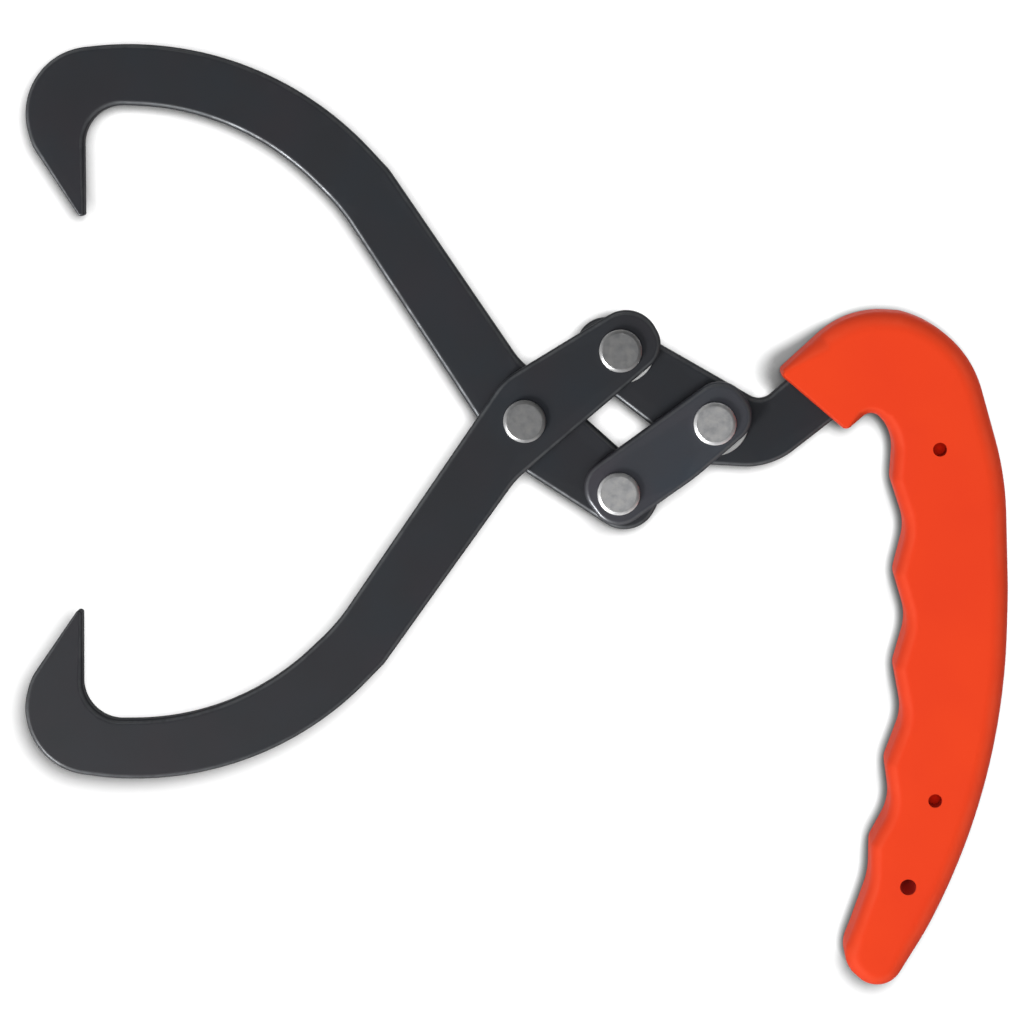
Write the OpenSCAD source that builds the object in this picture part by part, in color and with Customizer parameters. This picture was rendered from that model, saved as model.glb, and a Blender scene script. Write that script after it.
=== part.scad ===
/* [Plates] */
// Thickness of the jaws, the link and the handle bar
plate_t = 6; // [5:0.5:8]
// Distance between two neighbouring pivots, the side of the rhombus
pivot_pitch = 34; // [33:0.5:35]

/* [Rivets] */
// Diameter of a rivet's shank
shank_d = 8; // [6:0.5:9]
// Diameter of a rivet's head
head_d = 12.2; // [11:0.2:14]
// Height of a rivet's head above its plate
head_h = 2.3; // [1.5:0.1:3]
// Width of the bevel round a rivet's head
head_bevel = 0.9; // [0.5:0.1:1.2]
// Diameter of the two washers whose rims show beside their plates
washer_d = 19.8; // [16:0.2:21]
// Diameter of the two washers that stay hidden between their plates
hidden_washer_d = 16; // [14:0.2:17]
// Thickness of the washer between two plates
washer_t = 1.5; // [1:0.1:2]
// Clearance that lets a plate turn, on the radius and along the shank
play = 0.08; // [0.05:0.01:0.1]

/* [Grip] */
// Thickness of the moulded grip, from its front to its back
grip_t = 22; // [19:1:26]
// Roll of the edge along the back of the hand
palm_roll = 5.5; // [4:0.5:6]
// Roll of the edge along the fingers
finger_roll = 3.5; // [2:0.5:4]
// Height that the rolled edge takes off each face
roll_drop = 5; // [3:0.5:6]
// Depth of each finger groove below the line across its lands
groove_depth = 3.9; // [3:0.1:5]
// Diameter of the two blind holes left by the moulding pins
pin_hole_d = 4; // [3:0.5:5]
// Depth of the two blind holes
pin_hole_depth = 6; // [3:0.5:7]
// Diameter of the hole through the end, for a hanging cord
hang_hole_d = 4.7; // [4:0.1:6]

/* [Hidden] */

// All outlines lie in one drawing plane whose origin is the rivet where the jaws cross.
// +X runs along the linkage to the handle, and +Y is the side of the rear jaw's hook.
// The tongs lie flat: z = 0 is the back face of the grip.

// Middle of the whole footprint at rest, measured from the jaw rivet
footprint_mid = [-2.78, -28.84];
// Half the angle of the rhombus at the jaw rivet, as the tongs lie here
half_angle = 37;
// Greatest gap between a round stretch of an outline and its chords
chord_gap = 0.02;

// The four pivots, corners of a rhombus
jaw_pivot = [0, 0];
upper_pivot = pivot_pitch * [cos(half_angle), sin(half_angle)];
lower_pivot = pivot_pitch * [cos(half_angle), -sin(half_angle)];
link_pivot = upper_pivot + lower_pivot;

// Heights of the two layers of plates
rear_z = (grip_t - plate_t) / 2;
layer_gap = washer_t + play;
front_z = rear_z + plate_t + layer_gap;
rear_top = rear_z + plate_t;
front_top = front_z + plate_t;

bore_r = shank_d / 2 + play;

// Every outline is a list of corners [x, y, rounding radius, edge roll], anticlockwise.
// The edge roll is given only where a moulded edge rolls over, so plates leave it out.

// One jaw, its crossing pivot at the origin and its short arm along +X
jaw_corners = [
    [44.7, -8.1, 7.7], [47.2, 9.2, 9.5], [1.8, 13.1, 20],
    [-79.3, -15.3, 58.4], [-119.2, -20.2, 76.1], [-155.7, 5.9, 11.2],
    [-135.2, 33.2, 0.9], [-160.6, 24.6, 14.6], [-181.4, 8.2, 19.4],
    [-129, -41.7, 94.6], [-74.7, -32.6, 8], [-12.2, -12.2, 22.2]
];

// The link, its lower pivot at the origin and its other pivot along +X
link_corners = [
    [-8.8, -8.9, 8], [20, -9.4, 60], [45.5, -7.4, 8],
    [45, 10.2, 8], [-8.8, 10.5, 8.4]
];

// The handle bar: link end, swan neck, and the tang that bends down through the grip
bar_corners = [
    [11.5, 17.2, 8.5], [51, -12.6, 10], [70.7, -13.5, 22],
    [103.1, 12.7, 7.5], [112.2, 4, 12], [116.4, -31, 60],
    [116.7, -76.1, 60], [112.9, -114.3, 5.5], [125.5, -115.7, 5.5],
    [130.7, -66, 80], [130.4, -20.9, 50], [125.1, 13.2, 22],
    [108.5, 26.6, 16], [91.4, 26.7, 10], [67.6, 5.5, 5],
    [19, 32.6, 8.5]
];

// The lands between the fingers, from the index finger down
finger_lands = [[105.2, -16], [106.6, -43], [107.2, -70.2], [105.3, -98.4], [101.5, -122.1]];
land_r = 4.5;
groove_r = 14.5;
collar_roll = 1;
heel_roll = 4.5;

// Corner of the groove between two lands, set back square to the line across them
function groove_between(upper, lower) =
    let (along = unit(lower - upper))
    (upper + lower) / 2 + groove_depth * [-along.y, along.x];

finger_side = [
    for (i = [0:len(finger_lands) - 1])
        each concat(
            [[finger_lands[i].x, finger_lands[i].y, land_r, finger_roll]],
            i == len(finger_lands) - 1 ? [] :
                let (groove = groove_between(finger_lands[i], finger_lands[i + 1]))
                [[groove.x, groove.y, groove_r, finger_roll]]
        )
];

// The grip: collar and hollow for the index finger, finger side, heel, palm side
grip_corners = concat(
    [[91.8, -1.9, 1.9, collar_roll], [99.2, 4.6, 3.4, 2.5], [105.9, -2.9, 13.1, finger_roll]],
    finger_side,
    [
        [101.5, -133, 20.9, finger_roll], [96.7, -147.4, 14.6, finger_roll],
        [93.2, -156.9, 8.4, heel_roll], [105.9, -168.1, 7.7, heel_roll],
        [117.9, -147.5, 80.9, palm_roll], [139, -103.5, 196.8, palm_roll],
        [139.2, -47.9, 184.3, palm_roll], [137.6, -14.4, 88.3, palm_roll],
        [125.3, 26.7, 31.3, palm_roll], [107.1, 32, 6.7, palm_roll],
        [91.8, 32.9, 26.4, palm_roll], [72.3, 14.3, 1.6, collar_roll]
    ]
);
pin_holes = [[118.4, -6.6], [119.4, -108.3]];
hang_hole = [112.2, -133.8];

function unit(v) = v / norm(v);
function spot(corner) = [corner.x, corner.y];

// Angle between neighbouring points on a round stretch
function arc_step(radius) = 2 * acos(1 - chord_gap / radius);

// Points that round corner b between its neighbours a and c.
// Each one is [point, outward direction, edge roll].
function round_corner(a, b, c) =
    let (
        back = unit(spot(a) - spot(b)),
        ahead = unit(spot(c) - spot(b)),
        half = acos(back * ahead) / 2,
        side = sign(cross(ahead, back)),
        centre = spot(b) + unit(back + ahead) * b[2] / sin(half),
        start = spot(b) + back * b[2] / tan(half) - centre,
        from = atan2(start.y, start.x),
        turn = 180 - 2 * half,
        steps = max(1, ceil(turn / arc_step(b[2]))),
        roll = len(b) > 3 ? b[3] : 0
    )
    [
        for (i = [0:steps])
            let (way = from + side * turn * i / steps, dir = [cos(way), sin(way)])
            [centre + b[2] * dir, side * dir, roll]
    ];

function outline(corners) =
    let (count = len(corners))
    [
        for (i = [0:count - 1])
            each round_corner(corners[(i + count - 1) % count], corners[i], corners[(i + 1) % count])
    ];

// Triangles that fill a long bent loop, laid from side to side from both of its ends
function zipped(loop, i, j) =
    j - i < 2 ? [] :
    norm(loop[i + 1] - loop[j]) < norm(loop[i] - loop[j - 1])
        ? concat([[i, i + 1, j]], zipped(loop, i + 1, j))
        : concat([[i, j - 1, j]], zipped(loop, i, j - 1));

// A flat body with the outline of its corners, whose edges roll over to both faces.
// It suits a long body whose outline starts and ends at one of its two ends.
module rolled_slab(corners, thickness, drop, steps) {
    rim = outline(corners);
    count = len(rim);
    rings = 2 * (steps + 1);
    // Angle round the quarter roll of each ring, from the back face to the front face
    tilts = [
        for (k = [0:steps]) 90 * (steps - k) / steps,
        for (k = [0:steps]) 90 * k / steps
    ];
    heights = [
        for (k = [0:rings - 1])
            k <= steps ? drop * (1 - sin(tilts[k])) : thickness - drop * (1 - sin(tilts[k]))
    ];
    points = [
        for (k = [0:rings - 1])
            for (p = rim)
                let (at = p[0] - p[1] * p[2] * (1 - cos(tilts[k])))
                [at.x, at.y, heights[k]]
    ];
    walls = [
        for (k = [0:rings - 2])
            for (i = [0:count - 1])
                let (j = (i + 1) % count, low = k * count, high = low + count)
                each [[low + i, high + i, low + j], [low + j, high + i, high + j]]
    ];
    back_face = zipped([for (p = rim) p[0] - p[1] * p[2]], 0, count - 1);
    front_first = (rings - 1) * count;
    front_face = [for (t = back_face) [front_first + t[2], front_first + t[1], front_first + t[0]]];
    polyhedron(points, concat(walls, back_face, front_face));
}

// A steel plate cut to its outline, with its pivot bores
module plate(corners, pivots = []) {
    linear_extrude(plate_t) difference() {
        polygon([for (p = outline(corners)) p[0]]);
        for (pivot = pivots) translate(pivot) circle(r = bore_r, $fn = 96);
    }
}

module jaw() {
    rotate([0, 0, half_angle]) plate(jaw_corners, [jaw_pivot, [pivot_pitch, 0]]);
}

module front_jaw() {
    color([0.20, 0.21, 0.22]) translate([0, 0, front_z]) jaw();
}

// The same blank, turned over
module rear_jaw() {
    color([0.19, 0.20, 0.21]) translate([0, 0, rear_z]) mirror([0, 1, 0]) jaw();
}

module link() {
    color([0.21, 0.22, 0.23])
        translate([lower_pivot.x, lower_pivot.y, front_z])
            rotate([0, 0, half_angle]) plate(link_corners, [[0, 0], [pivot_pitch, 0]]);
}

module handle_bar() {
    color([0.19, 0.20, 0.22])
        translate([0, 0, rear_z]) plate(bar_corners, [upper_pivot, link_pivot]);
}

// The moulding closes round the tang, so its cavity is the bar's own shape
module grip() {
    color([0.93, 0.27, 0.13]) difference() {
        rolled_slab(grip_corners, grip_t, roll_drop, 3);
        translate([0, 0, rear_z]) plate(bar_corners);
        for (hole = pin_holes)
            translate([hole.x, hole.y, grip_t - pin_hole_depth])
                cylinder(d = pin_hole_d, h = pin_hole_depth + 1, $fn = 48);
        translate([hang_hole.x, hang_hole.y, -1]) cylinder(d = hang_hole_d, h = grip_t + 2, $fn = 64);
    }
}

// A rivet sits tight in the layer of its own body and leaves play over the other layer.
// Its front head is a bevelled disc, and its back is closed to a low dome.
module rivet(pivot, own_layer) {
    head_r = head_d / 2;
    front_seat = front_top + (own_layer == "front" ? 0 : play);
    rear_seat = rear_z - (own_layer == "rear" ? 0 : play);
    rear_dome = [
        for (angle = [0:15:75]) [head_r * cos(angle), rear_seat - 0.6 - (head_h - 0.6) * sin(angle)]
    ];
    profile = concat(
        [[0, rear_seat - head_h]],
        [for (i = [len(rear_dome) - 1:-1:0]) rear_dome[i]],
        [
            [head_r, rear_seat], [shank_d / 2, rear_seat], [shank_d / 2, front_seat],
            [head_r, front_seat], [head_r, front_seat + head_h - head_bevel * 0.6],
            [head_r - head_bevel, front_seat + head_h], [0, front_seat + head_h]
        ]
    );
    color([0.55, 0.56, 0.57])
        translate([pivot.x, pivot.y, 0]) rotate_extrude($fn = 96) polygon(profile);
}

// A washer lies on the plate of its own body
module washer(pivot, own_layer, diameter) {
    base = own_layer == "rear" ? rear_top : front_z - washer_t;
    color([0.80, 0.81, 0.82]) translate([pivot.x, pivot.y, base]) difference() {
        cylinder(d = diameter, h = washer_t, $fn = 96);
        translate([0, 0, -1]) cylinder(r = bore_r, h = washer_t + 2, $fn = 96);
    }
}

// Moves a piece from the drawing plane to the middle of the footprint
module in_frame() {
    translate([-footprint_mid.x, -footprint_mid.y, 0]) children();
}

in_frame() front_jaw();
in_frame() rear_jaw();
in_frame() link();
in_frame() handle_bar();
in_frame() grip();
in_frame() rivet(jaw_pivot, "front");  // jaw_rivet
in_frame() rivet(upper_pivot, "rear");  // upper_rivet
in_frame() rivet(lower_pivot, "front");  // lower_rivet
in_frame() rivet(link_pivot, "rear");  // link_rivet
in_frame() washer(jaw_pivot, "front", hidden_washer_d);  // jaw_washer
in_frame() washer(upper_pivot, "rear", washer_d);  // upper_washer
in_frame() washer(lower_pivot, "front", hidden_washer_d);  // lower_washer
in_frame() washer(link_pivot, "rear", washer_d);  // link_washer
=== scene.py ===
# %% [markdown]
# # Hand log tongs
# Two hooked jaws cross on a rivet, a rhombus of four bars closes them, and a moulded
# grip pulls on the rhombus. The solids come from the imported CAD frame, already in their
# places. This lesson gives them their finish: rolled and painted steel,
# turned rivet heads, bright washers and a soft orange moulding.
# The frame is loaded first.

# %% Load the CAD frame
import math

import bmesh
import bpy
from mathutils import Matrix, Vector


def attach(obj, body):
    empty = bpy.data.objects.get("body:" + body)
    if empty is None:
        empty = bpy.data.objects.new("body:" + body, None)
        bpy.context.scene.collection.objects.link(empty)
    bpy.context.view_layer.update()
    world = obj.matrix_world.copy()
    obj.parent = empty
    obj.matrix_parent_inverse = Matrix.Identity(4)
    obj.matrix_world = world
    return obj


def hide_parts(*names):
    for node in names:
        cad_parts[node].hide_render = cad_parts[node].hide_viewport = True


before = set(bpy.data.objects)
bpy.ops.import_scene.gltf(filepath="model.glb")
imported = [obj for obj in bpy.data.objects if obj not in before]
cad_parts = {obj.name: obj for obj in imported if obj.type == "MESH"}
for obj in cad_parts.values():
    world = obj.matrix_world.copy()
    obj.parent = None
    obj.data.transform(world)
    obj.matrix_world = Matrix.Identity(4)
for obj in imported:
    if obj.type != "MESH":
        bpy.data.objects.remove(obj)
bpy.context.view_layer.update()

MM = 0.001
scene = bpy.context.scene
print("nodes:", ", ".join(sorted(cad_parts)))

# %% [markdown]
# ## Where things are
# The drawings of this tool start from the rivet where the jaws cross. The frame's origin is
# the middle of the footprint instead, so one shift brings a drawn point to its place.
# The four pivots are the corners of a rhombus, so two numbers give them all.

# %% Pivots of the rhombus
DRAWING_TO_FRAME = Vector((2.78, 28.84))
PIVOT_PITCH = 34.0
HALF_ANGLE = math.radians(37)

upper_pivot = PIVOT_PITCH * Vector((math.cos(HALF_ANGLE), math.sin(HALF_ANGLE)))
lower_pivot = PIVOT_PITCH * Vector((math.cos(HALF_ANGLE), -math.sin(HALF_ANGLE)))
PIVOTS = {
    "jaw": Vector((0, 0)),
    "upper": upper_pivot,
    "lower": lower_pivot,
    "link": upper_pivot + lower_pivot,
}


def in_frame(point, height=0.0):
    """A drawn point in mm, as a place in the frame in metres."""
    flat = Vector(point) + DRAWING_TO_FRAME
    return Vector((flat.x * MM, flat.y * MM, height * MM))


for name, pivot in PIVOTS.items():
    print(name, "pivot at", tuple(round(v, 5) for v in in_frame(pivot)))

# %% [markdown]
# ## Rounded outlines
# Every flat shape here is a loop of corners, each with the radius that rounds it. A designer
# would draw them as arcs that touch both of the lines that meet in the corner. The helper
# below does the same with a little trigonometry. It also keeps the outward direction of each
# point, because the rolled edges of the moulding and of the plates need it.

# %% Round a loop of corners
# Greatest distance in mm between an arc and the chords that stand for it
CHORD_GAP = 0.006


def round_corner(before, corner, after):
    """Points [(place, outward direction, roll)] that round a corner between its neighbours."""
    at = Vector(corner[:2])
    back = (Vector(before[:2]) - at).normalized()
    ahead = (Vector(after[:2]) - at).normalized()
    radius = corner[2]
    half = math.acos(max(-1.0, min(1.0, back.dot(ahead)))) / 2
    side = 1.0 if ahead.x * back.y - ahead.y * back.x > 0 else -1.0
    centre = at + (back + ahead).normalized() * radius / math.sin(half)
    start = at + back * radius / math.tan(half) - centre
    begin = math.atan2(start.y, start.x)
    turn = math.pi - 2 * half
    steps = max(1, math.ceil(turn / (2 * math.acos(1 - CHORD_GAP / radius))))
    roll = corner[3]
    points = []
    for i in range(steps + 1):
        way = begin + side * turn * i / steps
        direction = Vector((math.cos(way), math.sin(way)))
        points.append((centre + radius * direction, side * direction, roll))
    return points


def outline(corners):
    """The whole rounded loop of corners [(x, y, rounding radius, edge roll)]."""
    count = len(corners)
    loop = []
    for i, corner in enumerate(corners):
        loop += round_corner(corners[i - 1], corner, corners[(i + 1) % count])
    return loop


print("an arc strays from its chords by at most", CHORD_GAP, "mm")

# %% [markdown]
# ## The moulded grip
# On the real tool the grip is moulded round the tang of the handle bar in one shot. Its edge
# rolls over generously on the palm side and a little tighter between the fingers, and the
# rolls fade out at the collar where the steel comes out. A Bevel modifier rolls every edge by
# the same width, unless each edge is given a weight by hand. So every corner of this outline
# has a fourth number, which is the roll at that place.

# %% Outline of the grip
GRIP_THICKNESS = 22.0
GROOVE_DEPTH = 3.9
LAND_RADIUS, GROOVE_RADIUS = 4.5, 14.5
FINGER_ROLL, PALM_ROLL, HEEL_ROLL = 3.5, 5.5, 4.5
HOLLOW_ROLL, COLLAR_ROLL = 2.5, 1.0
FINGER_LANDS = [(105.2, -16.0), (106.6, -43.0), (107.2, -70.2), (105.3, -98.4), (101.5, -122.1)]


def groove_between(upper, lower):
    """Corner of a finger groove, set back square to the line across its two lands."""
    upper, lower = Vector(upper), Vector(lower)
    along = (lower - upper).normalized()
    return (upper + lower) / 2 + GROOVE_DEPTH * Vector((-along.y, along.x))


finger_side = [(*FINGER_LANDS[0], LAND_RADIUS, FINGER_ROLL)]
for upper_land, lower_land in zip(FINGER_LANDS, FINGER_LANDS[1:]):
    groove = groove_between(upper_land, lower_land)
    finger_side.append((*groove, GROOVE_RADIUS, FINGER_ROLL))
    finger_side.append((*lower_land, LAND_RADIUS, FINGER_ROLL))

# Collar and hollow for the index finger, finger side, heel, palm side
GRIP_CORNERS = [
    (91.8, -1.9, 1.9, COLLAR_ROLL), (99.2, 4.6, 3.4, HOLLOW_ROLL),
    (105.9, -2.9, 13.1, FINGER_ROLL),
    *finger_side,
    (101.5, -133.0, 20.9, FINGER_ROLL), (96.7, -147.4, 14.6, FINGER_ROLL),
    (93.2, -156.9, 8.4, HEEL_ROLL), (105.9, -168.1, 7.7, HEEL_ROLL),
    (117.9, -147.5, 80.9, PALM_ROLL), (139.0, -103.5, 196.8, PALM_ROLL),
    (139.2, -47.9, 184.3, PALM_ROLL), (137.6, -14.4, 88.3, PALM_ROLL),
    (125.3, 26.7, 31.3, PALM_ROLL), (107.1, 32.0, 6.7, PALM_ROLL),
    (91.8, 32.9, 26.4, PALM_ROLL), (72.3, 14.3, 1.6, COLLAR_ROLL),
]
grip_loop = outline(GRIP_CORNERS)
print("grip outline:", len(grip_loop), "points,", len(GRIP_CORNERS), "corners")

# %% [markdown]
# ### Rings, walls and holes
# A rim that rolls over is a stack of rings. The lowest one is the outline pulled in by the
# whole roll, the next ones move out along a quarter circle, and above the wall they move in
# again. A bmesh, Blender's own editable mesh, takes the rings one vertex at a time and the
# quads between them. A hole is two small rings with a wall that looks inward, and its mouths
# join the loops that the flat faces fill later.

# %% Helpers for rings, walls and holes
HOLE_SIDES = 40


def circle_loop(bm, centre, radius, height, sides=HOLE_SIDES):
    """A closed ring of vertices round a hole."""
    verts = []
    for i in range(sides):
        way = math.tau * i / sides
        spot = in_frame(Vector(centre) + radius * Vector((math.cos(way), math.sin(way))), height)
        verts.append(bm.verts.new(spot))
    return verts


def ring_edges(bm, verts):
    """The edges that join a ring of vertices, made where they are missing."""
    edges = []
    for a, b in zip(verts, verts[1:] + verts[:1]):
        edges.append(bm.edges.get((a, b)) or bm.edges.new((a, b)))
    return edges


def bridge(bm, low, high, outward=True):
    """Quads between two rings with the same number of vertices."""
    for i in range(len(low)):
        j = (i + 1) % len(low)
        quad = (low[i], low[j], high[j], high[i])
        bm.faces.new(quad if outward else quad[::-1])


def rolled_rim(bm, loop, base, thickness, steps, drop=None):
    """Walls of a flat body whose rim rolls over to both faces, and the edges round each face."""
    quarter = [math.pi / 2 * k / steps for k in range(steps + 1)]
    levels = [(tilt, base, 1) for tilt in reversed(quarter)]
    levels += [(tilt, base + thickness, -1) for tilt in quarter]
    rings = []
    for tilt, face, inward in levels:
        pull, fall = 1 - math.cos(tilt), 1 - math.sin(tilt)
        rings.append([
            bm.verts.new(in_frame(p - d * roll * pull, face + inward * fall * (drop or roll)))
            for p, d, roll in loop
        ])
    for low, high in zip(rings, rings[1:]):
        bridge(bm, low, high)
    return ring_edges(bm, rings[0]), ring_edges(bm, rings[-1])


def hole_through(bm, centre, radius, base, top, back_rim, front_rim):
    """A round hole between two faces; its edges join the loops that the faces fill."""
    low, high = circle_loop(bm, centre, radius, base), circle_loop(bm, centre, radius, top)
    bridge(bm, low, high, outward=False)
    back_rim += ring_edges(bm, low)
    front_rim += ring_edges(bm, high)


print("helpers ready: rings, walls and holes")

# %% [markdown]
# ### Closing a body
# Triangle fill spans a flat face round all of its holes, which a single polygon cannot do.
# Everything is shaded smooth, apart from edges that turn sharply, and the Weighted Normal
# modifier lets the large flat faces set the shading at their rims. Without it a flat face
# looks like a cushion. The body then rides on its moving part and replaces its CAD node.

# %% Helper that closes a body
SHARP_TURN = math.radians(35)


def keep_faces_flat(piece):
    """Lets the large flat faces of a piece set the shading at their rims."""
    flat = piece.modifiers.new("flat_faces_win", "WEIGHTED_NORMAL")
    flat.keep_sharp = True


def closed_body(name, bm, back_rim, front_rim, body, node):
    """Fills the two faces, shades the body and lets it take the place of its CAD node."""
    bmesh.ops.triangle_fill(bm, edges=back_rim, use_beauty=True, normal=(0, 0, -1))
    bmesh.ops.triangle_fill(bm, edges=front_rim, use_beauty=True, normal=(0, 0, 1))
    bmesh.ops.recalc_face_normals(bm, faces=bm.faces)
    for face in bm.faces:
        face.smooth = True
    for edge in bm.edges:
        if len(edge.link_faces) == 2 and edge.calc_face_angle() > SHARP_TURN:
            edge.smooth = False
    mesh = bpy.data.meshes.new(name)
    bm.to_mesh(mesh)
    bm.free()
    piece = bpy.data.objects.new(name, mesh)
    scene.collection.objects.link(piece)
    keep_faces_flat(piece)
    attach(piece, body)
    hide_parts(node)
    print(name, "has", len(mesh.polygons), "faces")
    return piece


print("helper ready: closed body")

# %% [markdown]
# ### The grip's body
# The moulding has three holes. The one near the heel, to hang the tool up by, goes right
# through, so it joins the two faces. The other two are blind marks where pins held the steel in
# the mould, so each has a floor of its own. The roll is equally high all round while its width
# changes, so its drop is a number of its own. The tang inside never shows and is left whole.

# %% Loft the grip
ROLL_DROP = 5.0
GRIP_ROLL_STEPS = 9
HANG_HOLE, HANG_HOLE_RADIUS = (112.2, -133.8), 2.35
PIN_HOLES, PIN_HOLE_RADIUS, PIN_HOLE_DEPTH = [(118.4, -6.6), (119.4, -108.3)], 2.0, 6.0
PIN_HOLE_SIDES = 32

bm = bmesh.new()
back_rim, front_rim = rolled_rim(
    bm, grip_loop, 0.0, GRIP_THICKNESS, GRIP_ROLL_STEPS, ROLL_DROP,
)
hole_through(bm, HANG_HOLE, HANG_HOLE_RADIUS, 0.0, GRIP_THICKNESS, back_rim, front_rim)
for hole in PIN_HOLES:
    floor_ring = circle_loop(
        bm, hole, PIN_HOLE_RADIUS, GRIP_THICKNESS - PIN_HOLE_DEPTH, PIN_HOLE_SIDES,
    )
    mouth_ring = circle_loop(bm, hole, PIN_HOLE_RADIUS, GRIP_THICKNESS, PIN_HOLE_SIDES)
    bridge(bm, floor_ring, mouth_ring, outward=False)
    bm.faces.new(floor_ring)
    front_rim += ring_edges(bm, mouth_ring)
grip_moulding = closed_body(
    "grip_moulding", bm, back_rim, front_rim, "handle", "grip",
)

# %% [markdown]
# ## Rolled edges of the steel
# The plates are stamped from 6 mm sheet and tumbled before they are painted, so every rim rolls
# over by more than a millimetre. That roll is most of what the eye sees of a black plate: a
# lighter band towards the light, and a thin dark line away from it. The same corners that cut
# the CAD plates come back here. Only at the sharp tip of a hook does the roll narrow, because
# the tip is thinner than the roll. Both jaws are one blank, and the rear one is turned over.

# %% Outlines of the plates
PLATE_THICKNESS = 6.0
# Room between the two layers of plates: a washer and its play
LAYER_GAP = 1.58
REAR_HEIGHT = (GRIP_THICKNESS - PLATE_THICKNESS) / 2
FRONT_HEIGHT = REAR_HEIGHT + PLATE_THICKNESS + LAYER_GAP
EDGE_ROLL, TIP_ROLL = 1.55, 0.75
# A corner with a smaller radius than this is the tip of a hook
TIP_RADIUS = 2.0

JAW_CORNERS = [
    (44.7, -8.1, 7.7), (47.2, 9.2, 9.5), (1.8, 13.1, 20.0), (-79.3, -15.3, 58.4),
    (-119.2, -20.2, 76.1), (-155.7, 5.9, 11.2), (-135.2, 33.2, 0.9), (-160.6, 24.6, 14.6),
    (-181.4, 8.2, 19.4), (-129.0, -41.7, 94.6), (-74.7, -32.6, 8.0), (-12.2, -12.2, 22.2),
]
LINK_CORNERS = [
    (-8.8, -8.9, 8.0), (20.0, -9.4, 60.0), (45.5, -7.4, 8.0), (45.0, 10.2, 8.0), (-8.8, 10.5, 8.4),
]
# Link end, swan neck, and the tang that bends down through the grip
BAR_CORNERS = [
    (11.5, 17.2, 8.5), (51.0, -12.6, 10.0), (70.7, -13.5, 22.0), (103.1, 12.7, 7.5),
    (112.2, 4.0, 12.0), (116.4, -31.0, 60.0), (116.7, -76.1, 60.0), (112.9, -114.3, 5.5),
    (125.5, -115.7, 5.5), (130.7, -66.0, 80.0), (130.4, -20.9, 50.0), (125.1, 13.2, 22.0),
    (108.5, 26.6, 16.0), (91.4, 26.7, 10.0), (67.6, 5.5, 5.0), (19.0, 32.6, 8.5),
]


def plate_loop(corners):
    """The rounded loop of a plate, with the roll of its rim added to every corner."""
    return outline([(*c, EDGE_ROLL if c[2] > TIP_RADIUS else TIP_ROLL) for c in corners])


def placed(loop, angle, shift=(0, 0), turned_over=False):
    """A loop turned, moved, and turned over if asked; it stays anticlockwise."""
    turn = Matrix.Rotation(angle, 2)
    moved = [(turn @ p + Vector(shift), turn @ d, roll) for p, d, roll in loop]
    if not turned_over:
        return moved
    over = Matrix(((1, 0), (0, -1)))
    return [(over @ p, over @ d, roll) for p, d, roll in reversed(moved)]


jaw_loop = plate_loop(JAW_CORNERS)
link_loop = plate_loop(LINK_CORNERS)
PLATE_LOOPS = {
    "front_jaw": placed(jaw_loop, HALF_ANGLE),
    "rear_jaw": placed(jaw_loop, HALF_ANGLE, turned_over=True),
    "link": placed(link_loop, HALF_ANGLE, PIVOTS["lower"]),
    "handle_bar": plate_loop(BAR_CORNERS),
}
for node, loop in PLATE_LOOPS.items():
    print(node, "outline:", len(loop), "points")

# %% [markdown]
# ### The plates' bodies
# Each plate is a stack of rings like the grip, with a bore at each of its two pivots, and it
# rides on its own moving part. The front jaw and the link lie in the front layer, the rear jaw
# and the handle bar in the rear one, as on the real tool, so that they pass over each other.

# %% Loft the plates
BORE_RADIUS = 4.08
PLATE_ROLL_STEPS = 7
# Moving part, height of the back face, and the pivots that have a bore
PLATES = {
    "front_jaw": ("front_jaw_body", FRONT_HEIGHT, ("jaw", "upper")),
    "rear_jaw": ("rear_jaw_body", REAR_HEIGHT, ("jaw", "lower")),
    "link": ("link_body", FRONT_HEIGHT, ("lower", "link")),
    "handle_bar": ("handle", REAR_HEIGHT, ("upper", "link")),
}

steel_plates = []
for node, (body, base, bores) in PLATES.items():
    bm = bmesh.new()
    top = base + PLATE_THICKNESS
    back_rim, front_rim = rolled_rim(
        bm, PLATE_LOOPS[node], base, PLATE_THICKNESS, PLATE_ROLL_STEPS,
    )
    for bore in bores:
        hole_through(bm, PIVOTS[bore], BORE_RADIUS, base, top, back_rim, front_rim)
    steel_plates.append(closed_body(
        node + "_plate", bm, back_rim, front_rim, body, node,
    ))

# %% [markdown]
# ## Rims of rivets and washers
# Rivets and washers are turned parts with crisp rims, so their CAD solids stay. Weld joins the
# vertices that the file keeps apart, Bevel breaks the rims by a hair, and Weighted Normal keeps
# the big faces flat. The bevelled mesh is made anew at every render, so a tiny geometry node
# group shades it smooth after the bevel.

# %% Break the rims of rivets and washers
RIVETS = [name + "_rivet" for name in PIVOTS]
WASHERS = [name + "_washer" for name in PIVOTS]
FACET_GAP = 0.01 * MM
RIM_SEGMENTS = 2
# Width of a broken rim in mm, and the least turn in degrees that counts as a rim
RIVET_RIM, WASHER_RIM = (0.12, 25), (0.15, 50)


def smooth_faces_group():
    """A geometry node group that shades every face smooth."""
    group = bpy.data.node_groups.new("smooth_faces", "GeometryNodeTree")
    for way in ("INPUT", "OUTPUT"):
        group.interface.new_socket("Geometry", in_out=way, socket_type="NodeSocketGeometry")
    come, go = group.nodes.new("NodeGroupInput"), group.nodes.new("NodeGroupOutput")
    shade = group.nodes.new("GeometryNodeSetShadeSmooth")
    group.links.new(come.outputs[0], shade.inputs["Geometry"])
    group.links.new(shade.outputs[0], go.inputs[0])
    return group


smooth_faces = smooth_faces_group()


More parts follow.
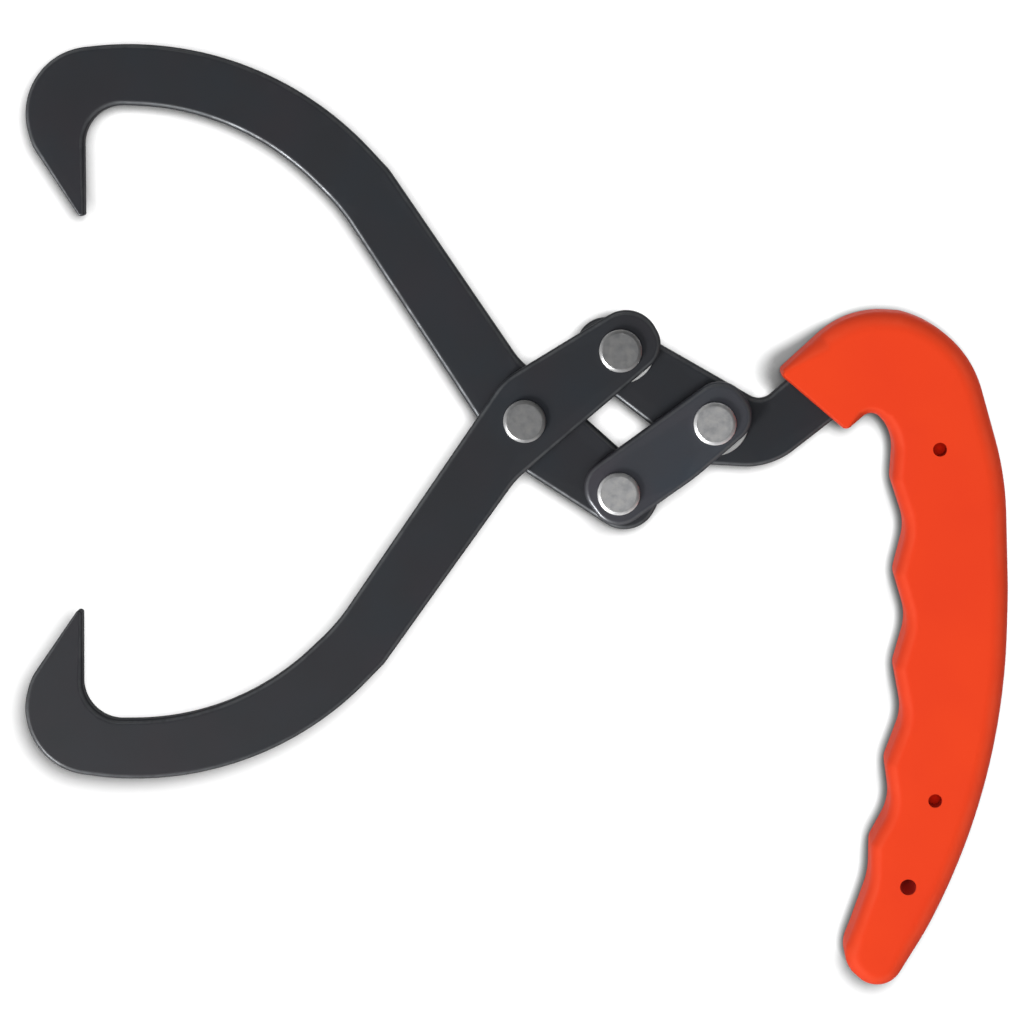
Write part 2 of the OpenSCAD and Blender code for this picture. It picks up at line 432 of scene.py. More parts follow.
def break_rims(node, width_mm, least_turn):
    """Breaks the crisp rims of a turned CAD solid and keeps its flat faces flat."""
    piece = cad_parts[node]
    join = piece.modifiers.new("join_facets", "WELD")
    join.merge_threshold = FACET_GAP
    roll = piece.modifiers.new("broken_rims", "BEVEL")
    roll.width = width_mm * MM
    roll.segments = RIM_SEGMENTS
    roll.limit_method = "ANGLE"
    roll.angle_limit = math.radians(least_turn)
    roll.use_clamp_overlap = False
    soft = piece.modifiers.new("smooth_faces", "NODES")
    soft.node_group = smooth_faces
    keep_faces_flat(piece)


for nodes, rim in ((RIVETS, RIVET_RIM), (WASHERS, WASHER_RIM)):
    for node in nodes:
        break_rims(node, *rim)
print("broken rims:", len(RIVETS), "rivets,", len(WASHERS), "washers")

# %% [markdown]
# ## Effects that the finishes share
# Six effects come back on several materials or several times on one: a slow drift of colour, a
# fine grain that gives height, rings left by turning, rub along crisp edges, rub along rolls,
# and shade inside narrow holes. Each is a shader node group with named inputs. A group keeps
# the recipe in one place, and each material gives it its own scale and strength.

# %% Helpers for node groups
COLOUR, NUMBER, DIRECTION = "NodeSocketColor", "NodeSocketFloat", "NodeSocketVector"


def new_effect(name, inputs, outputs):
    """A shader node group with its sockets; inputs are (name, kind, value)."""
    group = bpy.data.node_groups.new(name, "ShaderNodeTree")
    for label, kind, value in inputs:
        group.interface.new_socket(label, in_out="INPUT", socket_type=kind).default_value = value
    for label, kind in outputs:
        group.interface.new_socket(label, in_out="OUTPUT", socket_type=kind)
    return group, group.nodes.new("NodeGroupInput"), group.nodes.new("NodeGroupOutput")


def add_node(tree, kind, values=(), **settings):
    """A node with some settings and some input values."""
    node = tree.nodes.new(kind)
    for key, value in settings.items():
        setattr(node, key, value)
    for key, value in dict(values).items():
        node.inputs[key].default_value = value
    return node


def feed(tree, value, socket):
    """Links an output to a socket, or writes a number or a colour onto the socket itself."""
    if isinstance(value, (int, float, tuple)):
        socket.default_value = value
    else:
        tree.links.new(value, socket)


print("helpers ready: groups, nodes and sockets")

# %% [markdown]
# ### Numbers and colours in nodes
# A material is arithmetic on masks, and in nodes each sum takes several lines. These helpers
# make a Math, Map Range, Mix or Noise node in one line, so that a recipe can be read from top to
# bottom. Each noise runs over the object's own coordinates, so that it stays fixed to a piece
# when the piece moves.

# %% Helpers for numbers and colours
def math_node(tree, operation, a, b=None, clamp=False):
    """The output of a Math node that is fed by sockets or numbers."""
    node = add_node(tree, "ShaderNodeMath", operation=operation, use_clamp=clamp)
    feed(tree, a, node.inputs[0])
    if b is not None:
        feed(tree, b, node.inputs[1])
    return node.outputs[0]


def remap(tree, value, low, high, to_low=0.0, to_high=1.0):
    """Map Range from [low, high], clamped."""
    node = add_node(tree, "ShaderNodeMapRange", {1: low, 2: high, 3: to_low, 4: to_high})
    tree.links.new(value, node.inputs[0])
    return node.outputs[0]


def mix_colour(tree, factor, a, b):
    """A mix of two colours, each a socket or a constant with its alpha."""
    node = add_node(tree, "ShaderNodeMix", data_type="RGBA")
    tree.links.new(factor, node.inputs["Factor"])
    for label, value in (("A", a), ("B", b)):
        feed(tree, value, [i for i in node.inputs if i.name == label and i.type == "RGBA"][0])
    return [o for o in node.outputs if o.type == "RGBA"][0]


def object_noise(tree, scale, detail, roughness=0.5, **settings):
    """A Noise node over the object's own coordinates; the scale is a socket or a number."""
    values = {"Detail": detail, "Roughness": roughness}
    noise = add_node(tree, "ShaderNodeTexNoise", values, **settings)
    place = add_node(tree, "ShaderNodeTexCoord")
    tree.links.new(place.outputs["Object"], noise.inputs["Vector"])
    feed(tree, scale, noise.inputs["Scale"])
    return noise


def tinted(colour, tone=1.0):
    """A colour with its alpha, made lighter or darker by a tone."""
    return (*(tone * part for part in colour), 1.0)


print("helpers ready: numbers, colours and noise")

# %% [markdown]
# ### Slow drift of colour
# No painted or moulded surface is one flat colour. Two large soft noises pull the base colour
# a little towards two neighbours, at a scale of centimetres. The second noise is a slice of a
# four-dimensional one, so that its patches lie elsewhere than those of the first.

# %% Effect: colour drift
SECOND_SLICE = 3.7
COOL_FROM, WARM_FROM = (0.42, 0.68), (0.45, 0.70)

colour_drift, come, go = new_effect(
    "colour_drift",
    [("Base", COLOUR, (0.5, 0.5, 0.5, 1)), ("Cool", COLOUR, (0.5, 0.5, 0.6, 1)),
     ("Warm", COLOUR, (0.6, 0.5, 0.5, 1)), ("Scale", NUMBER, 40.0), ("Amount", NUMBER, 0.5)],
    [("Colour", COLOUR), ("Patches", NUMBER)],
)
first = object_noise(colour_drift, come.outputs["Scale"], detail=3.0, roughness=0.55)
second = object_noise(colour_drift, come.outputs["Scale"], detail=2.0, noise_dimensions="4D")
second.inputs["W"].default_value = SECOND_SLICE
drifted = come.outputs["Base"]
for noise, span, label in ((first, COOL_FROM, "Cool"), (second, WARM_FROM, "Warm")):
    patches = remap(colour_drift, noise.outputs["Fac"], *span)
    part = math_node(colour_drift, "MULTIPLY", patches, come.outputs["Amount"])
    drifted = mix_colour(colour_drift, part, drifted, come.outputs[label])
colour_drift.links.new(drifted, go.inputs["Colour"])
colour_drift.links.new(first.outputs["Fac"], go.inputs["Patches"])
print("effect:", colour_drift.name)

# %% [markdown]
# ### Fine grain
# Powder coat dries with a slight orange peel, and a mould leaves a fine matt grain. Both are
# a bumpy height field: a soft noise for the peel and a sharper one on top for the grain.

# %% Effect: surface grain
surface_grain, come, go = new_effect(
    "surface_grain",
    [("Peel Scale", NUMBER, 700.0), ("Grain Scale", NUMBER, 3000.0), ("Grain Share", NUMBER, 0.4)],
    [("Height", NUMBER)],
)
peel = object_noise(surface_grain, come.outputs["Peel Scale"], detail=1.5)
grain = object_noise(surface_grain, come.outputs["Grain Scale"], detail=3.0, roughness=0.6)
share = math_node(surface_grain, "MULTIPLY", grain.outputs["Fac"], come.outputs["Grain Share"])
height = math_node(surface_grain, "ADD", peel.outputs["Fac"], share)
surface_grain.links.new(height, go.inputs["Height"])
print("effect:", surface_grain.name)

# %% [markdown]
# ### Rings left by turning
# Rivet heads and washers show fine rings round their own middle. The distance from that
# middle drives a one-dimensional noise, so neighbouring rings differ as real tool marks do.
# The middle is an input, because each rivet has its own.

# %% Effect: turned rings
WANDER_SCALE, BROAD_RING_SCALE = 350.0, 420.0


def from_axis(tree, middle):
    """The way to a place from a middle, and its distance to the upright axis through it."""
    place = add_node(tree, "ShaderNodeTexCoord")
    shift = add_node(tree, "ShaderNodeVectorMath", operation="SUBTRACT")
    tree.links.new(place.outputs["Object"], shift.inputs[0])
    tree.links.new(middle, shift.inputs[1])
    flatten = add_node(tree, "ShaderNodeVectorMath", {1: (1, 1, 0)}, operation="MULTIPLY")
    tree.links.new(shift.outputs[0], flatten.inputs[0])
    reach = add_node(tree, "ShaderNodeVectorMath", operation="LENGTH")
    tree.links.new(flatten.outputs[0], reach.inputs[0])
    return shift.outputs[0], reach.outputs["Value"]


turned_rings, come, go = new_effect(
    "turned_rings",
    [("Middle", DIRECTION, (0, 0, 0)), ("Ring Scale", NUMBER, 2500.0), ("Wander", NUMBER, 0.00012)],
    [("Height", NUMBER), ("Shade", NUMBER)],
)
way, reach = from_axis(turned_rings, come.outputs["Middle"])
unsteady = object_noise(turned_rings, WANDER_SCALE, detail=1.0)
wander = math_node(turned_rings, "MULTIPLY", unsteady.outputs["Fac"], come.outputs["Wander"])
radius = math_node(turned_rings, "ADD", reach, wander)
ring_noises = []
for scale in (come.outputs["Ring Scale"], BROAD_RING_SCALE):
    rings = add_node(turned_rings, "ShaderNodeTexNoise", {"Detail": 2.0}, noise_dimensions="1D")
    turned_rings.links.new(radius, rings.inputs["W"])
    feed(turned_rings, scale, rings.inputs["Scale"])
    ring_noises.append(rings.outputs["Fac"])
fine_rings, broad_rings = ring_noises
both = math_node(turned_rings, "ADD", fine_rings, broad_rings)
mean = math_node(turned_rings, "MULTIPLY", both, 0.5)
turned_rings.links.new(fine_rings, go.inputs["Height"])
turned_rings.links.new(remap(turned_rings, mean, 0.35, 0.65), go.inputs["Shade"])
print("effect:", turned_rings.name)

# %% [markdown]
# ### Rub along edges
# Handling polishes the rims first. The Bevel node gives the normal that a rounder edge would
# have, and where it leaves the true normal there is an edge. A noise breaks the band up, so
# the rub comes and goes along the rim.

# %% Effect: edge rub
BEVEL_SAMPLES = 6
# Agreement of the two normals where the rub begins and where it is full
EDGE_FROM, EDGE_TO = 0.995, 0.93


def broken_up(tree, band, come):
    """A band that a noise breaks up, by as much as the group's Breakup input says."""
    patchy = object_noise(tree, come.outputs["Breakup Scale"], detail=4.0, roughness=0.65)
    spots = remap(tree, patchy.outputs["Fac"], 0.60, 0.40)
    holes = math_node(tree, "MULTIPLY", spots, come.outputs["Breakup"])
    kept = math_node(tree, "SUBTRACT", 1.0, holes, clamp=True)
    return math_node(tree, "MULTIPLY", band, kept, clamp=True)


edge_rub, come, go = new_effect(
    "edge_rub",
    [("Width", NUMBER, 0.0008), ("Breakup", NUMBER, 0.5), ("Breakup Scale", NUMBER, 120.0)],
    [("Mask", NUMBER)],
)
rounder = add_node(edge_rub, "ShaderNodeBevel", samples=BEVEL_SAMPLES)
edge_rub.links.new(come.outputs["Width"], rounder.inputs["Radius"])
true_normal = add_node(edge_rub, "ShaderNodeNewGeometry")
agree = add_node(edge_rub, "ShaderNodeVectorMath", operation="DOT_PRODUCT")
edge_rub.links.new(rounder.outputs["Normal"], agree.inputs[0])
edge_rub.links.new(true_normal.outputs["Normal"], agree.inputs[1])
band = remap(edge_rub, agree.outputs["Value"], EDGE_FROM, EDGE_TO)
edge_rub.links.new(broken_up(edge_rub, band, come), go.inputs["Mask"])
print("effect:", edge_rub.name)

# %% [markdown]
# ### Rub along rolls
# A rolled rim has no sharp edge that a Bevel node could find, but its surface leans away from
# the flat faces. The upright part of the normal tells how far: the rub begins where the face
# starts to fall, and fades out again on the upright wall, which is given as a mask of its own.

# %% Effect: roll rub
# Upright part of the normal where the rub begins and is full, and the same for the wall
ROLL_FROM, ROLL_TO = 0.99, 0.90
WALL_FROM, WALL_TO = 0.82, 0.50

roll_rub, come, go = new_effect(
    "roll_rub",
    [("Breakup", NUMBER, 0.5), ("Breakup Scale", NUMBER, 120.0)],
    [("Mask", NUMBER), ("Wall", NUMBER)],
)
true_normal = add_node(roll_rub, "ShaderNodeNewGeometry")
lean = add_node(roll_rub, "ShaderNodeSeparateXYZ")
roll_rub.links.new(true_normal.outputs["Normal"], lean.inputs[0])
upright = math_node(roll_rub, "ABSOLUTE", lean.outputs["Z"])
wall = remap(roll_rub, upright, WALL_FROM, WALL_TO)
fallen = remap(roll_rub, upright, ROLL_FROM, ROLL_TO)
rolled = math_node(roll_rub, "SUBTRACT", fallen, wall, clamp=True)
roll_rub.links.new(broken_up(roll_rub, rolled, come), go.inputs["Mask"])
roll_rub.links.new(wall, go.inputs["Wall"])
print("effect:", roll_rub.name)

# %% [markdown]
# ### Shade inside narrow holes
# Little light reaches the bottom of a narrow hole, so its shade is painted into the colour. The
# effect measures the distance to the upright axis of one hole, and the depth below the face, and
# gives a mask that is 1 inside the hole, where the painted shade goes.

# %% Effect: hole shade
hole_shade, come, go = new_effect(
    "hole_shade",
    [("Middle", DIRECTION, (0, 0, 0)), ("Radius", NUMBER, 0.002), ("Fade", NUMBER, 0.0012)],
    [("Mask", NUMBER)],
)
way, reach = from_axis(hole_shade, come.outputs["Middle"])
within = math_node(hole_shade, "LESS_THAN", reach, come.outputs["Radius"])
axis = add_node(hole_shade, "ShaderNodeSeparateXYZ")
hole_shade.links.new(way, axis.inputs[0])
depth = math_node(hole_shade, "DIVIDE", axis.outputs["Z"], come.outputs["Fade"])
below = math_node(hole_shade, "MULTIPLY", depth, -1.0, clamp=True)
hole_shade.links.new(math_node(hole_shade, "MULTIPLY", within, below), go.inputs["Mask"])
print("effect:", hole_shade.name)

# %% [markdown]
# ## Building a finish
# Every finish here is one Principled shader. Its colour and roughness come from the effects,
# and one Bump node turns a height into the fine relief. What stays the same over a whole piece
# is written onto the shader's own socket.

# %% Helpers for materials
# Span of the drift's patches that a roughness follows
PATCH_SPAN = (0.3, 0.7)


def new_finish(name):
    """A material, its node tree and its Principled node."""
    finish = bpy.data.materials.new(name)
    finish.use_nodes = True
    return finish, finish.node_tree, finish.node_tree.nodes["Principled BSDF"]


def place_effect(tree, effect, **values):
    """An effect group placed in a material, with its own values."""
    node = tree.nodes.new("ShaderNodeGroup")
    node.node_tree = effect
    for key, value in values.items():
        node.inputs[key.replace("_", " ")].default_value = value
    return node


def drifting(tree, palette, scale, amount, tone=1.0):
    """The colour drift with a palette of Base, Cool and Warm, all brought to one tone."""
    colours = {label: tinted(colour, tone) for label, colour in palette.items()}
    return place_effect(tree, colour_drift, Scale=scale, Amount=amount, **colours)


def bumped(tree, shader, height, strength, distance_mm):
    """Feeds a height to the shader's normal through one Bump node."""
    bump = add_node(tree, "ShaderNodeBump", {"Strength": strength, "Distance": distance_mm * MM})
    tree.links.new(height, bump.inputs["Height"])
    tree.links.new(bump.outputs["Normal"], shader.inputs["Normal"])


print("helpers ready: finishes")

# %% [markdown]
# ## Painted steel
# The plates wear a dark satin powder coat. It drifts slightly between bluish and brownish
# charcoal, has a faint orange peel, and is rubbed thin to grey steel along the rolled rims,
# which is where the light catches them. The upright walls keep the rough face of the cut. The
# link is a little lighter than the other three plates, so each plate is given a tone.

# %% Finish: painted steel
PAINT = {
    "Base": (0.0150, 0.0163, 0.0200),
    "Cool": (0.0128, 0.0168, 0.0226),
    "Warm": (0.0182, 0.0162, 0.0206),
}
PAINT_TONES = {"front_jaw": 1.0, "rear_jaw": 1.0, "link": 2.1, "handle_bar": 0.98}
BARE_STEEL = (0.25, 0.26, 0.27)
# How much of the steel's colour and of its metal shows where the coat is rubbed thin
STEEL_SHOWS, METAL_SHOWS = 0.48, 0.80
# Roughness of the coat, what rubbing takes off it, and what the cut adds on the walls
SATIN, POLISH, ROUGH_CUT = (0.42, 0.50), 0.10, 0.40
COAT_SPECULAR = 0.36


def painted_steel(name, tone):
    """Satin powder coat, rubbed thin along the rolled rims; the tone lightens or darkens it."""
    finish, tree, shader = new_finish(name)
    paint = drifting(tree, PAINT, scale=42.0, amount=0.8, tone=tone)
    rub = place_effect(tree, roll_rub, Breakup=0.55, Breakup_Scale=140.0)
    grain = place_effect(
        tree, surface_grain, Peel_Scale=620.0, Grain_Scale=2600.0, Grain_Share=0.35,
    )
    rubbed = rub.outputs["Mask"]
    thin = math_node(tree, "MULTIPLY", rubbed, STEEL_SHOWS)
    colour = mix_colour(tree, thin, paint.outputs["Colour"], tinted(BARE_STEEL))
    metal = math_node(tree, "MULTIPLY", rubbed, METAL_SHOWS)
    satin = remap(tree, paint.outputs["Patches"], *PATCH_SPAN, *SATIN)
    polished = math_node(tree, "SUBTRACT", satin, math_node(tree, "MULTIPLY", rubbed, POLISH))
    cut = math_node(tree, "MULTIPLY", rub.outputs["Wall"], ROUGH_CUT)
    tree.links.new(colour, shader.inputs["Base Color"])
    tree.links.new(metal, shader.inputs["Metallic"])
    tree.links.new(math_node(tree, "ADD", polished, cut), shader.inputs["Roughness"])
    shader.inputs["Specular IOR Level"].default_value = COAT_SPECULAR
    bumped(tree, shader, grain.outputs["Height"], strength=0.25, distance_mm=0.03)
    return finish


for plate, node in zip(steel_plates, PLATES):
    plate.data.materials.append(painted_steel(node + "_paint", PAINT_TONES[node]))
print("finish: painted steel on", len(steel_plates), "plates")

# %% [markdown]
# ## Rivets
# The rivets are dull zinc-grey steel. Each head needs the rings round its own middle, so the
# material is built once per rivet with that middle and with the brightness of that head: the
# two on the front jaw are darker than the two on the link. The rims are rubbed bright, and the
# patches of the drift also give the heads their uneven, pressed relief.

# %% Finish: rivets
HEAD_TONES = {"jaw": 0.43, "upper": 0.43, "lower": 0.78, "link": 0.79}
# The palettes of rivets and washers are shares of a tone
RIVET_STEEL = {
    "Base": (1.00, 1.00, 1.01),
    "Cool": (0.78, 0.79, 0.81),
    "Warm": (1.16, 1.15, 1.13),
}
RIVET_RING = (0.80, 0.81, 0.82)
RIVET_RING_SHARE = 0.25
BRIGHT_RIM = (0.90, 0.90, 0.89)
BRIGHT_RIM_SHARE = 0.6
RIVET_ROUGHNESS = (0.32, 0.42)


def rivet_steel(name, middle, tone):
    """Dull steel with turning rings round the middle of one head and a bright rim."""
    finish, tree, shader = new_finish(name)
    rings = place_effect(tree, turned_rings, Middle=middle, Ring_Scale=3200.0, Wander=0.00016)
    drift = drifting(tree, RIVET_STEEL, scale=420.0, amount=1.0, tone=tone)
    rub = place_effect(tree, edge_rub, Width=0.0004, Breakup=0.35, Breakup_Scale=300.0)
    faint = math_node(tree, "MULTIPLY", rings.outputs["Shade"], RIVET_RING_SHARE)
    ringed = mix_colour(tree, faint, drift.outputs["Colour"], tinted(RIVET_RING, tone))
    rim = math_node(tree, "MULTIPLY", rub.outputs["Mask"], BRIGHT_RIM_SHARE)
    colour = mix_colour(tree, rim, ringed, tinted(BRIGHT_RIM))
    roughness = remap(tree, rings.outputs["Shade"], 0.0, 1.0, *RIVET_ROUGHNESS)
    tree.links.new(colour, shader.inputs["Base Color"])
    tree.links.new(roughness, shader.inputs["Roughness"])
    shader.inputs["Metallic"].default_value = 1.0
    bumped(tree, shader, drift.outputs["Patches"], strength=0.35, distance_mm=0.04)
    return finish


for name, tone in HEAD_TONES.items():
    finish = rivet_steel(name + "_rivet_finish", in_frame(PIVOTS[name]), tone)
    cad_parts[name + "_rivet"].material_slots[0].material = finish
print("finish:", len(HEAD_TONES), "rivets")

# %% [markdown]
# ## Washers
# The washers are a brighter zinc. Two of them stay hidden between the plates and two show as
# narrow crescents, so their finish is the rivets' recipe made simpler: rings and drift, but no
# rub. The crescent at the link's rivet is darker than the one at the upper rivet.

# %% Finish: washers
WASHER_TONES = {"jaw": 0.80, "upper": 0.80, "lower": 0.80, "link": 0.56}
ZINC = {
    "Base": (1.00, 1.00, 0.99),
    "Cool": (0.88, 0.90, 0.92),
    "Warm": (1.05, 1.02, 0.96),
}
ZINC_RING = (0.82, 0.82, 0.82)
ZINC_METALLIC = 0.6
ZINC_ROUGHNESS = (0.30, 0.42)


def washer_zinc(name, middle, tone):
    """Bright zinc with turning rings round the middle of one washer."""
    finish, tree, shader = new_finish(name)
    rings = place_effect(tree, turned_rings, Middle=middle, Ring_Scale=2400.0, Wander=0.0002)
    drift = drifting(tree, ZINC, scale=220.0, amount=0.7, tone=tone)
    shade = rings.outputs["Shade"]
    colour = mix_colour(tree, shade, drift.outputs["Colour"], tinted(ZINC_RING, tone))
    tree.links.new(colour, shader.inputs["Base Color"])
    tree.links.new(remap(tree, shade, 0.0, 1.0, *ZINC_ROUGHNESS), shader.inputs["Roughness"])
    shader.inputs["Metallic"].default_value = ZINC_METALLIC
    bumped(tree, shader, rings.outputs["Height"], strength=0.2, distance_mm=0.02)
    return finish


for name, tone in WASHER_TONES.items():
    finish = washer_zinc(name + "_washer_finish", in_frame(PIVOTS[name]), tone)
    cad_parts[name + "_washer"].material_slots[0].material = finish
print("finish:", len(WASHER_TONES), "washers")

# %% [markdown]
# ## Moulded plastic
# The grip is a saturated orange-red, matt from the mould, with a faint drift between redder
# and yellower patches, and a little paler where hands and the bench rub its rolls. The three
# holes grow dark towards their floors. Such a strong colour would throw a pink glow on the
# white sheet, which the photograph does not have, so diffuse rays do not see the grip.

# %% Finish: grip
PIGMENT = {
    "Base": (0.880, 0.058, 0.0150),
    "Cool": (0.830, 0.052, 0.0160),
    "Warm": (0.920, 0.068, 0.0155),
}
RUBBED_PIGMENT = (0.95, 0.13, 0.06)
RUBBED_SHARE = 0.25
# Painted shade: the colour that the grip's holes darken to towards their floors
PAINTED_HOLE_SHADE = (0.60, 0.010, 0.0015)
MATT = (0.60, 0.70)
PLASTIC_SPECULAR = 0.12
# The shade of a hole reaches just past its wall in mm, and is full at this depth in metres
WALL_MARGIN, SHADE_DEPTH = 0.05, 0.0012

grip_plastic, tree, shader = new_finish("grip_plastic_finish")
pigment = drifting(tree, PIGMENT, scale=24.0, amount=0.6)
rub = place_effect(tree, roll_rub, Breakup=0.5, Breakup_Scale=90.0)
grain = place_effect(tree, surface_grain, Peel_Scale=900.0, Grain_Scale=3600.0, Grain_Share=0.6)
paler = math_node(tree, "MULTIPLY", rub.outputs["Mask"], RUBBED_SHARE)
colour = mix_colour(tree, paler, pigment.outputs["Colour"], tinted(RUBBED_PIGMENT))
grip_holes = [(hole, PIN_HOLE_RADIUS) for hole in PIN_HOLES] + [(HANG_HOLE, HANG_HOLE_RADIUS)]
# Painted shade darkens each hole towards its floor, where little light reaches
for hole, hole_radius in grip_holes:
    painted_pocket_shade = place_effect(
        tree, hole_shade, Middle=in_frame(hole, GRIP_THICKNESS),
        Radius=(hole_radius + WALL_MARGIN) * MM, Fade=SHADE_DEPTH,
    )
    colour = mix_colour(tree, painted_pocket_shade.outputs["Mask"], colour, tinted(PAINTED_HOLE_SHADE))
roughness = remap(tree, pigment.outputs["Patches"], *PATCH_SPAN, *MATT)
tree.links.new(colour, shader.inputs["Base Color"])
tree.links.new(roughness, shader.inputs["Roughness"])
shader.inputs["Specular IOR Level"].default_value = PLASTIC_SPECULAR
bumped(tree, shader, grain.outputs["Height"], strength=0.22, distance_mm=0.03)
grip_moulding.data.materials.append(grip_plastic)
grip_moulding.visible_diffuse = False
print("finish:", grip_plastic.name)

# %% [markdown]
# ## The white sheet
# The tongs lie on a plain white sheet, which is a single square just under the grip's back. It
# is staged, so it counts as scenery and not as a piece of the tool. A Light Path node tells
# which ray looks at it, and so the sheet can be white to the camera and duller to the light
# that bounces: a full white would light the tool's lower edges from below. Paper has no gloss,
# so the specular level is zero.

# %% Sheet and its paper
# Distance from the middle to each side, and height just under the grip, in metres
SHEET_REACH, SHEET_HEIGHT = 3.0, -0.0003
PAPER, PAPER_TO_BOUNCES = (0.95, 0.95, 0.95), (0.60, 0.60, 0.60)
SQUARE = ((-1, -1), (1, -1), (1, 1), (-1, 1))

sheet_mesh = bpy.data.meshes.new("white_sheet")
sheet_mesh.from_pydata(
    [(x * SHEET_REACH, y * SHEET_REACH, SHEET_HEIGHT) for x, y in SQUARE], [], [(0, 1, 2, 3)],
)
white_sheet = bpy.data.objects.new("white_sheet", sheet_mesh)
scene.collection.objects.link(white_sheet)

sheet_finish, tree, shader = new_finish("white_sheet_finish")
white_sheet.data.materials.append(sheet_finish)
shader.inputs["Specular IOR Level"].default_value = 0.0
seen = add_node(tree, "ShaderNodeLightPath")
paper = mix_colour(tree, seen.outputs["Is Diffuse Ray"], tinted(PAPER), tinted(PAPER_TO_BOUNCES))
print("sheet:", SHEET_REACH * 2, "m square")

# %% [markdown]
# ### Contact shade
# Where a piece comes close to the sheet, a narrow dark halo hugs it. The Ambient Occlusion
# node finds what is near. Its normal leans to the upper right, so the ground to the lower left
# of a piece grows darkest, as in the photograph. The pieces lie at different heights: the grip
# lies on the sheet, the rear plates are 8 mm up and the front jaw is 15.6 mm up. So the shade
# has its own numbers for each of the three places, and a reach of zero under the front jaw,
# which is too high for a narrow halo.

# %% Contact shade on the sheet
# Each is a number for the rear layer, one for the front jaw and one for the grip
LEAN = (0.50, 0.50, 0.15)
SHADE_REACH = (0.0091, 0.0, 0.0038)
FULL_SHADE_BELOW = (0.88, 0.88, 0.55)
DARKEST = 0.22
# Where the grip begins along X, and where the front jaw begins along X and along Y, in metres
GRIP_FROM = (0.068, 0.090)
FRONT_JAW_FROM_X, FRONT_JAW_FROM_Y = (0.004, -0.010), (0.020, 0.005)

place = add_node(tree, "ShaderNodeTexCoord")
split = add_node(tree, "ShaderNodeSeparateXYZ")
tree.links.new(place.outputs["Object"], split.inputs[0])
under_grip = remap(tree, split.outputs["X"], *GRIP_FROM)
under_front_jaw = math_node(
    tree, "MULTIPLY", remap(tree, split.outputs["X"], *FRONT_JAW_FROM_X),
    remap(tree, split.outputs["Y"], *FRONT_JAW_FROM_Y),
)


def by_place(elsewhere, front_jaw, grip):
    """A number that changes with what lies above the sheet."""
    for_front_jaw = remap(tree, under_front_jaw, 0.0, 1.0, 0.0, front_jaw - elsewhere)
    for_grip = remap(tree, under_grip, 0.0, 1.0, 0.0, grip - elsewhere)
    return math_node(tree, "ADD", math_node(tree, "ADD", for_front_jaw, elsewhere), for_grip)


lean = by_place(*LEAN)
to_upper_right = add_node(tree, "ShaderNodeCombineXYZ", {"Z": 1.0})
tree.links.new(lean, to_upper_right.inputs["X"])
tree.links.new(lean, to_upper_right.inputs["Y"])
unit = add_node(tree, "ShaderNodeVectorMath", operation="NORMALIZE")
tree.links.new(to_upper_right.outputs[0], unit.inputs[0])
contact = add_node(tree, "ShaderNodeAmbientOcclusion", samples=32)
tree.links.new(unit.outputs[0], contact.inputs["Normal"])
tree.links.new(by_place(*SHADE_REACH), contact.inputs["Distance"])
lit = add_node(tree, "ShaderNodeMapRange", {2: 1.0, 3: DARKEST, 4: 1.0})
tree.links.new(contact.outputs["AO"], lit.inputs[0])
tree.links.new(by_place(*FULL_SHADE_BELOW), lit.inputs[1])
shaded_paper = mix_colour(tree, lit.outputs[0], tinted((0.0, 0.0, 0.0)), paper)
tree.links.new(shaded_paper, shader.inputs["Base Color"])
print("contact shade reaches", max(SHADE_REACH) / MM, "mm at most")

# %% [markdown]
# ### Clean white, and a clear back
# The sheet's lamp is small, so its light falls off towards the horizon. A glow that grows with
# the distance from the tool keeps the far sheet white in a view from the side, and only the
# camera and reflections see it. Seen from below the sheet is clear, so that the tool's back can
# be looked at. The Backfacing output chooses between the paper and a Transparent shader.

# %% Far white and clear back
# Distance in metres from the tool's middle where the glow begins and is full, and its strengths
GLOW_FROM, GLOW_TO = 0.15, 0.60
NEAR_GLOW, FAR_GLOW = 0.04, 1.0

distance = add_node(tree, "ShaderNodeVectorMath", operation="LENGTH")
tree.links.new(place.outputs["Object"], distance.inputs[0])
glow = remap(tree, distance.outputs["Value"], GLOW_FROM, GLOW_TO, NEAR_GLOW, FAR_GLOW)
shown = math_node(tree, "MAXIMUM", seen.outputs["Is Camera Ray"], seen.outputs["Is Glossy Ray"])
shader.inputs["Emission Color"].default_value = tinted((1.0, 1.0, 1.0))
tree.links.new(math_node(tree, "MULTIPLY", shown, glow), shader.inputs["Emission Strength"])

side = add_node(tree, "ShaderNodeNewGeometry")
clear = add_node(tree, "ShaderNodeBsdfTransparent")
either = add_node(tree, "ShaderNodeMixShader")
tree.links.new(side.outputs["Backfacing"], either.inputs[0])
tree.links.new(shader.outputs[0], either.inputs[1])
tree.links.new(clear.outputs[0], either.inputs[2])
tree.links.new(either.outputs[0], tree.nodes["Material Output"].inputs["Surface"])
print("sheet glows from", GLOW_FROM, "to", GLOW_TO, "m, and is clear from below")

# %% [markdown]
# ## Camera
# The photograph was taken from about a metre, almost square to the tongs, from a touch
# towards the upper hook and a touch turned. The camera stands on a line from the place that
# it aims at, and turns about the same three angles.

# %% Camera
AIM = Vector((-0.617, 2.63, 21.6)) * MM
DISTANCE = 0.982
VIEW_WIDTH = 0.293778
TILT, SIDE_LEAN, ROLL = math.radians(6.742), math.radians(-2.449), math.radians(-0.797)
NEAREST, FARTHEST = 0.01, 50

